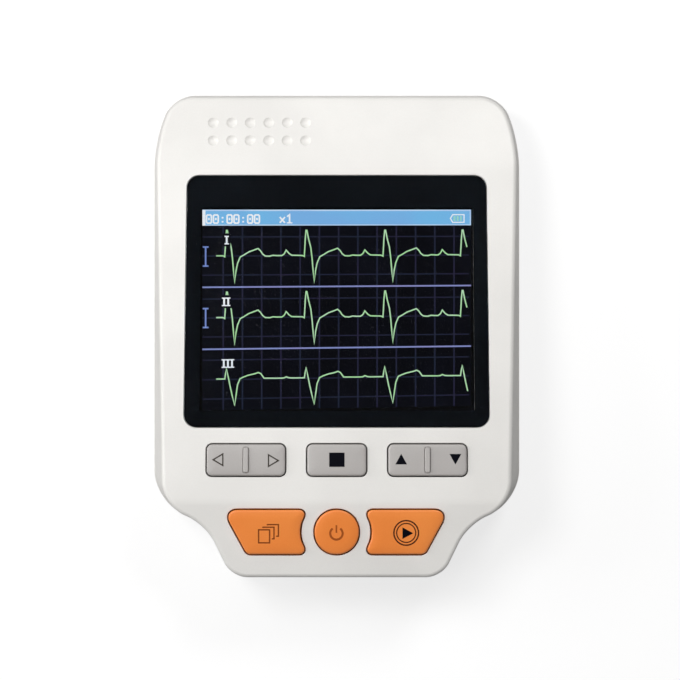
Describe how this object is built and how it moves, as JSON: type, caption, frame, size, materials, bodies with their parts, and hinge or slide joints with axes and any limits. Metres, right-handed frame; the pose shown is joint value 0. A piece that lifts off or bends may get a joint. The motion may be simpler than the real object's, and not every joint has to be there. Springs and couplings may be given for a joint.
{
  "type": "handheld ecg monitor",
  "caption": "Handheld heart-signal monitor with a tilted colour display, grey and orange keys, a narrow grip and a sliding battery door.",
  "frame": {"origin": "middle of the flat rear, on the surface that the device lies on", "axes": "+Z out of the front, +Y towards the top end of the device, +X to the reader's right"},
  "size_m": [0.0974, 0.1284, 0.0284],
  "materials": {
    "white_case_plastic": "moulded ABS, fine matt texture",
    "grey_key_plastic": "moulded, painted grey, matt",
    "orange_key_plastic": "moulded orange, satin",
    "lens_acrylic": "polished acrylic with a printed black border",
    "adhesive": "double-sided tape",
    "gasket_foam": "closed-cell foam",
    "bezel_steel": "pressed steel",
    "panel_glass": "display glass",
    "backlight_film": "diffuser film",
    "black_plastic": "moulded, matt",
    "ribbon_film": "polyimide film",
    "board_laminate": "solder mask over glass laminate",
    "keypad_silicone": "moulded silicone",
    "chip_epoxy": "moulded epoxy",
    "plated_steel": "nickel plated",
    "screw_steel": "black zinc plated",
    "cell_jacket": null
  },
  "bodies": {
    "case": {"front_cover": "white_case_plastic", "rear_cover": "white_case_plastic", "display_lens": "lens_acrylic", "lens_tape": "adhesive", "dust_gasket": "gasket_foam", "lcd_bezel": "bezel_steel", "lcd_panel": "panel_glass", "backlight": "backlight_film", "lcd_holder": "black_plastic", "lcd_ribbon": "ribbon_film", "ribbon_connector": "black_plastic", "main_board": "board_laminate", "keypad_sheet": "keypad_silicone", "processor_chip": "chip_epoxy", "memory_chip": "chip_epoxy", "shield_can": "plated_steel", "buzzer": "black_plastic", "lead_socket": "plated_steel", "usb_socket": "plated_steel", "battery_cell_1": "cell_jacket", "battery_cell_2": "cell_jacket", "battery_cell_3": "cell_jacket", "battery_spring_1": "plated_steel", "battery_spring_2": "plated_steel", "battery_spring_3": "plated_steel", "contact_top_bridge": "plated_steel", "contact_top_single": "plated_steel", "contact_bottom_bridge": "plated_steel", "contact_bottom_single": "plated_steel", "case_screw_1": "screw_steel", "case_screw_2": "screw_steel", "case_screw_3": "screw_steel", "case_screw_4": "screw_steel", "board_screw_1": "screw_steel", "board_screw_2": "screw_steel", "board_screw_3": "screw_steel", "board_screw_4": "screw_steel"},
    "left_right_key": {"left_right_key": "grey_key_plastic"},
    "stop_key": {"stop_key": "grey_key_plastic"},
    "up_down_key": {"up_down_key": "grey_key_plastic"},
    "copy_key": {"copy_key": "orange_key_plastic"},
    "power_key": {"power_key": "orange_key_plastic"},
    "play_key": {"play_key": "orange_key_plastic"},
    "battery_door": {"battery_door": "white_case_plastic"}
  },
  "joints": [
    {"name": "left_right_rock", "type": "hinge", "parent": "case", "child": "left_right_key", "pos_m": [-0.02335, -0.03236, 0.02208], "axis": [0, 0.9945, -0.1045], "range_deg": [-4, 4], "stiffness_Nm_per_rad": 0.12, "deforming": ["keypad_sheet"]},
    {"name": "up_down_rock", "type": "hinge", "parent": "case", "child": "up_down_key", "pos_m": [0.02335, -0.03236, 0.02208], "axis": [0, 0.9945, -0.1045], "range_deg": [-4, 4], "stiffness_Nm_per_rad": 0.12, "deforming": ["keypad_sheet"]},
    {"name": "stop_press", "type": "slide", "parent": "case", "child": "stop_key", "axis": [0, -0.1045, -0.9945], "range_m": [0, 0.0007], "stiffness_N_per_m": 1500, "deforming": ["keypad_sheet"]},
    {"name": "copy_press", "type": "slide", "parent": "case", "child": "copy_key", "axis": [0, -0.1045, -0.9945], "range_m": [0, 0.0007], "stiffness_N_per_m": 1500, "deforming": ["keypad_sheet"]},
    {"name": "power_press", "type": "slide", "parent": "case", "child": "power_key", "axis": [0, -0.1045, -0.9945], "range_m": [0, 0.0007], "stiffness_N_per_m": 1500, "deforming": ["keypad_sheet"]},
    {"name": "play_press", "type": "slide", "parent": "case", "child": "play_key", "axis": [0, -0.1045, -0.9945], "range_m": [0, 0.0007], "stiffness_N_per_m": 1500, "deforming": ["keypad_sheet"]},
    {"name": "battery_door_slide", "type": "slide", "parent": "case", "child": "battery_door", "axis": [0, -1, 0], "range_m": [0, 0.058]}
  ]
}
